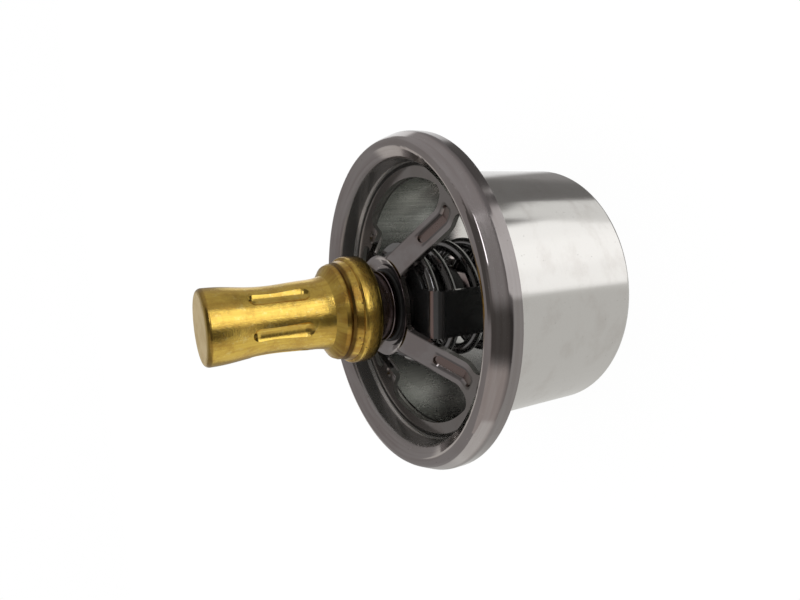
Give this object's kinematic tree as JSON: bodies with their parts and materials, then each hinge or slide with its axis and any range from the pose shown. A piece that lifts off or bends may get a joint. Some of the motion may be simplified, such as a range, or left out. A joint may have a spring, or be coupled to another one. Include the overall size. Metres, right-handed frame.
{
  "type": "engine thermostat",
  "caption": "Sleeve-valve wax thermostat: brass capsule on a spider in a rolled-rim flange, sliding steel sleeve with spring and yoke.",
  "frame": {"origin": "on the valve's axis, in the plane of the sleeve's lower end", "axes": "+Z along the valve's axis, towards the capsule's tip"},
  "size_m": [0.067, 0.067, 0.0755],
  "materials": {
    "flange_steel": "polished stainless, tinted",
    "spider_steel": "polished stainless, pressed",
    "sleeve_steel": "brushed stainless",
    "black_steel": "black oxide, oiled",
    "spring_steel": "black enamel",
    "neck_steel": "dark polished",
    "brass": "drawn brass",
    "rubber": "moulded rubber",
    "wax": "wax with copper powder",
    "ptfe": "plain",
    "piston_steel": "ground stainless"
  },
  "bodies": {
    "root": {"flange": "flange_steel", "spider": "spider_steel", "wax_cup": "brass", "wax_charge": "wax", "diaphragm": "rubber", "rubber_plug": "rubber", "guide": "neck_steel", "neck_washer": "neck_steel", "hub_gasket": "rubber", "lock_tube": "black_steel", "spring": "spring_steel", "spring_seat": "black_steel", "seat_circlip": "piston_steel"},
    "sleeve_body": {"sleeve": "sleeve_steel", "sleeve_bridge": "spider_steel", "yoke": "black_steel", "yoke_rivets": "black_steel", "piston": "piston_steel", "piston_socket": "piston_steel", "antichafe_disc": "ptfe"}
  },
  "joints": [
    {"name": "sleeve_slide", "type": "slide", "parent": "root", "child": "sleeve_body", "axis": [0, 0, -1], "range_m": [0, 0.0095], "stiffness_N_per_m": 2000, "springref_m": -0.002, "deforming": ["spring"]}
  ]
}
